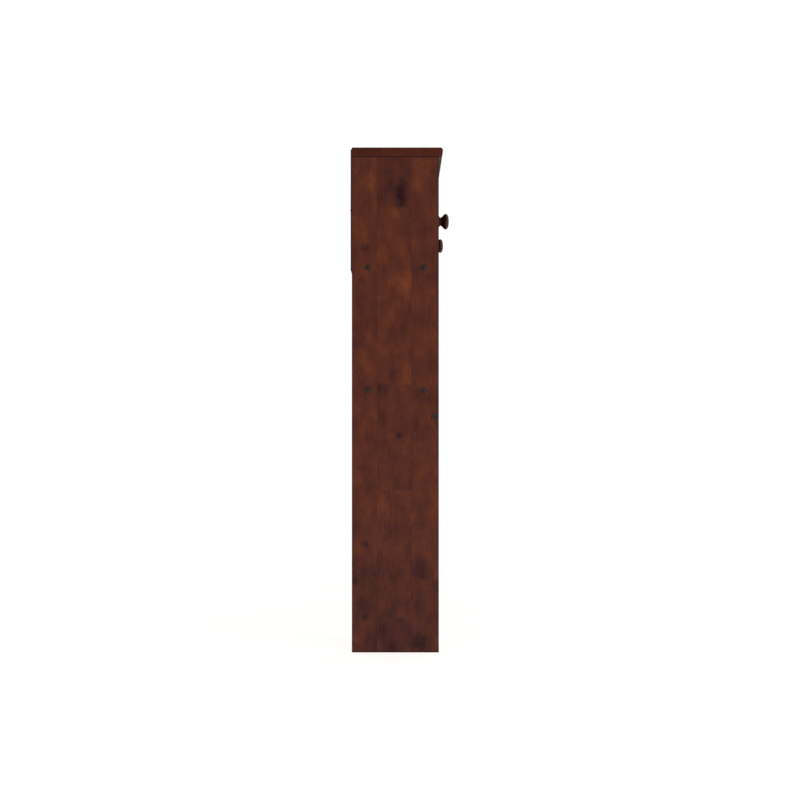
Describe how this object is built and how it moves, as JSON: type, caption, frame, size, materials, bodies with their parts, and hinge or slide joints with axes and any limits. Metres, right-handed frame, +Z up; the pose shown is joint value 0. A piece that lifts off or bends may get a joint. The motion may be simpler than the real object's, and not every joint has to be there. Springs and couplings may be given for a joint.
{
  "type": "hall tree with hooks",
  "caption": "Tall narrow wooden hall tree with side panels, a drawer cabinet under a rounded top, an open bay, a shelf with an apron, and rails of metal coat hooks.",
  "frame": {"origin": "on the floor, at the middle of the whole object's width and depth, knobs and screw heads included", "axes": "+Z up, -Y out of the drawer fronts, +X to the viewer's right when facing the drawers"},
  "size_m": [0.922, 0.3448, 1.7],
  "materials": {
    "wood": "red-brown stained pine, satin lacquer",
    "knob_wood": "dark stained turned wood, gloss lacquer",
    "plywood": "dark stained plywood",
    "inner_wood": "bare sanded pine",
    "hook_metal": "dark bronze powder coat",
    "bolt_steel": "black zinc",
    "zinc_steel": "bright zinc"
  },
  "bodies": {
    "carcass": {"side_panel_left": "wood", "side_panel_right": "wood", "top_board": "wood", "cabinet_floor": "wood", "cabinet_divider": "wood", "mid_shelf": "wood", "front_apron": "wood", "upper_hook_rail": "wood", "lower_hook_rail": "wood", "back_panel": "plywood", "runner_1": "inner_wood", "runner_2": "inner_wood", "runner_3": "inner_wood", "runner_4": "inner_wood", "kicker_1": "inner_wood", "kicker_2": "inner_wood", "kicker_3": "inner_wood", "kicker_4": "inner_wood", "pull_stop_left": "inner_wood", "pull_stop_right": "inner_wood", "close_stop_left": "inner_wood", "close_stop_right": "inner_wood", "frame_dowels": "inner_wood", "upper_hook_1": "hook_metal", "upper_hook_2": "hook_metal", "upper_hook_3": "hook_metal", "upper_hook_4": "hook_metal", "lower_hook_1": "hook_metal", "lower_hook_2": "hook_metal", "lower_hook_3": "hook_metal", "lower_hook_4": "hook_metal", "hook_screws": "hook_metal", "frame_bolts": "bolt_steel", "barrel_nuts": "zinc_steel", "divider_screws": "zinc_steel", "back_screws": "zinc_steel", "kicker_screws": "zinc_steel", "runner_screws": "zinc_steel", "stop_screws": "zinc_steel"},
    "drawer_left": {"left_drawer_front": "wood", "left_drawer_knob": "knob_wood", "left_drawer_bottom": "plywood", "left_drawer_side_outer": "inner_wood", "left_drawer_side_inner": "inner_wood", "left_drawer_back": "inner_wood", "left_drawer_knob_screw": "zinc_steel", "left_drawer_screws": "zinc_steel"},
    "drawer_right": {"right_drawer_front": "wood", "right_drawer_knob": "knob_wood", "right_drawer_bottom": "plywood", "right_drawer_side_outer": "inner_wood", "right_drawer_side_inner": "inner_wood", "right_drawer_back": "inner_wood", "right_drawer_knob_screw": "zinc_steel", "right_drawer_screws": "zinc_steel"}
  },
  "joints": [
    {"name": "left_drawer_slide", "type": "slide", "parent": "carcass", "child": "drawer_left", "axis": [0, -1, 0], "range_m": [0, 0.2]},
    {"name": "right_drawer_slide", "type": "slide", "parent": "carcass", "child": "drawer_right", "axis": [0, -1, 0], "range_m": [0, 0.2]}
  ]
}
